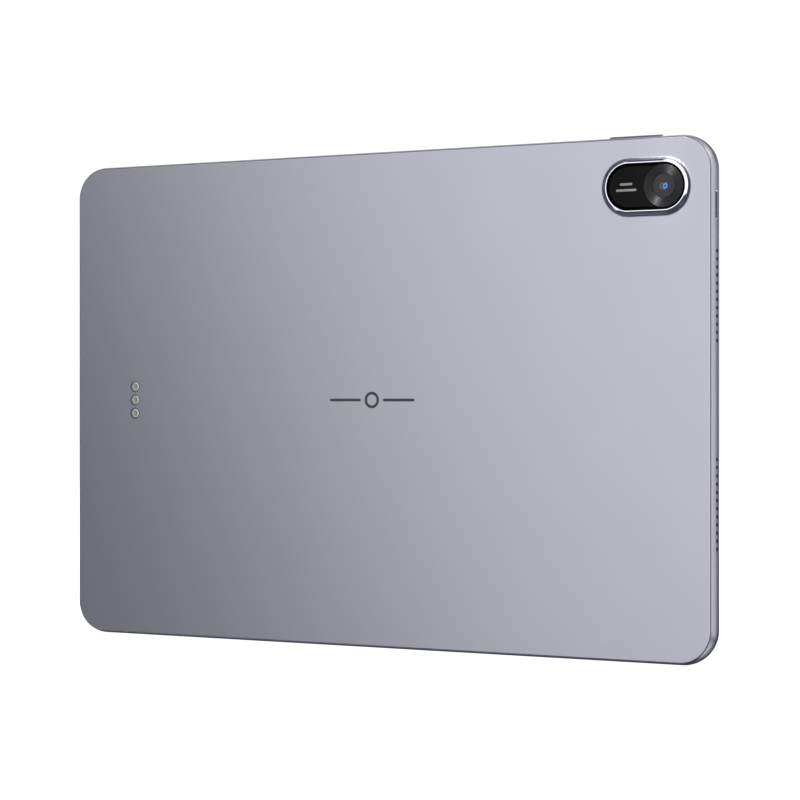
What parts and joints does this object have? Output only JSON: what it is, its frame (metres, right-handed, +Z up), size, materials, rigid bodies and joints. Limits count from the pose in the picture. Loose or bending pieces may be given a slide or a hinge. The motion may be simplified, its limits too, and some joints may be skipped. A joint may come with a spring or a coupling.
{
  "type": "tablet computer",
  "caption": "Slim tablet computer with a metal tray housing, raised rear camera ring, side keys, speakers and edge-to-edge glass, opened into its separate internal pieces.",
  "frame": {"origin": "middle of the lower long edge, halfway through the body's thickness", "axes": "+X along the long side, towards the charging port; +Y out of the back cover, with the screen facing -Y; +Z up the short side, towards the volume key"},
  "size_m": [0.2611, 0.008, 0.1773],
  "materials": {
    "anodised_housing": "bead blasted and anodised, lavender grey",
    "camera_glass": "black backed glass",
    "spun_metal": "spun and black anodised",
    "coated_lens": "coated glass",
    "black_plastic": "moulded, fine grain",
    "module_steel": "stamped",
    "amber_film": "polyimide film",
    "dust_mesh": "woven acoustic mesh",
    "circuit_board": "solder mask",
    "contact_plastic": "moulded",
    "contact_metal": "plated",
    "chip_resin": "moulded resin",
    "battery_foil": "laminated foil pouch",
    "screen_glass": "polished cover glass over a dark display",
    "foam_tape": "double-sided foam tape",
    "white_film": "white reflector film",
    "graphite": "pressed graphite sheet",
    "magnet_nickel": "nickel plated"
  },
  "bodies": {
    "tablet_body": {"back_housing": "anodised_housing", "camera_bezel_ring": "anodised_housing", "camera_window": "camera_glass", "camera_deco_ring": "spun_metal", "lens_cover": "coated_lens", "rear_camera_module": "module_steel", "rear_camera_flex": "amber_film", "power_switch": "module_steel", "volume_up_switch": "module_steel", "volume_down_switch": "module_steel", "power_key_bracket": "module_steel", "volume_key_bracket": "module_steel", "speaker_camera_side_upper": "black_plastic", "speaker_camera_side_lower": "black_plastic", "speaker_port_side_upper": "black_plastic", "speaker_port_side_lower": "black_plastic", "speaker_mesh_camera_side_upper": "dust_mesh", "speaker_mesh_camera_side_lower": "dust_mesh", "speaker_mesh_port_side_upper": "dust_mesh", "speaker_mesh_port_side_lower": "dust_mesh", "usb_shell": "module_steel", "usb_tongue": "black_plastic", "port_board": "circuit_board", "microphone_top": "module_steel", "microphone_side": "module_steel", "contact_insulator": "contact_plastic", "contact_pad_upper": "contact_metal", "contact_pad_middle": "contact_metal", "contact_pad_lower": "contact_metal", "contact_board": "circuit_board", "main_board": "circuit_board", "shield_processor": "module_steel", "shield_power": "module_steel", "shield_radio": "module_steel", "main_processor": "chip_resin", "power_chip": "chip_resin", "radio_chip": "chip_resin", "board_screw_upper": "module_steel", "board_screw_lower_outer": "module_steel", "board_screw_lower_inner": "module_steel", "battery_cell_left": "battery_foil", "battery_cell_right": "battery_foil", "battery_protection_board": "circuit_board", "main_flex": "amber_film", "display_flex": "amber_film", "cover_glass": "screen_glass", "display_adhesive": "foam_tape", "display_frame": "black_plastic", "lcd_panel": "screen_glass", "backlight_unit": "white_film", "graphite_sheet": "graphite", "front_camera_module": "black_plastic", "light_sensor": "chip_resin", "antenna_left": "amber_film", "antenna_right": "amber_film", "cover_magnet_left": "magnet_nickel", "cover_magnet_right": "magnet_nickel"},
    "power_key": {"power_key": "anodised_housing"},
    "volume_key": {"volume_key": "anodised_housing"},
    "rear_lens": {"rear_lens_barrel": "black_plastic"}
  },
  "joints": [
    {"name": "power_key_press", "type": "slide", "parent": "tablet_body", "child": "power_key", "axis": [1, 0, 0], "range_m": [0, 0.00025], "stiffness_N_per_m": 2500},
    {"name": "volume_key_rock", "type": "hinge", "parent": "tablet_body", "child": "volume_key", "pos_m": [-0.1013, -0.00019, 0.17407], "axis": [0, 1, 0], "range_deg": [-1.2, 1.2], "stiffness_Nm_per_rad": 0.6},
    {"name": "rear_lens_focus", "type": "slide", "parent": "tablet_body", "child": "rear_lens", "axis": [0, 1, 0], "range_m": [0, 0.0003], "stiffness_N_per_m": 300}
  ]
}
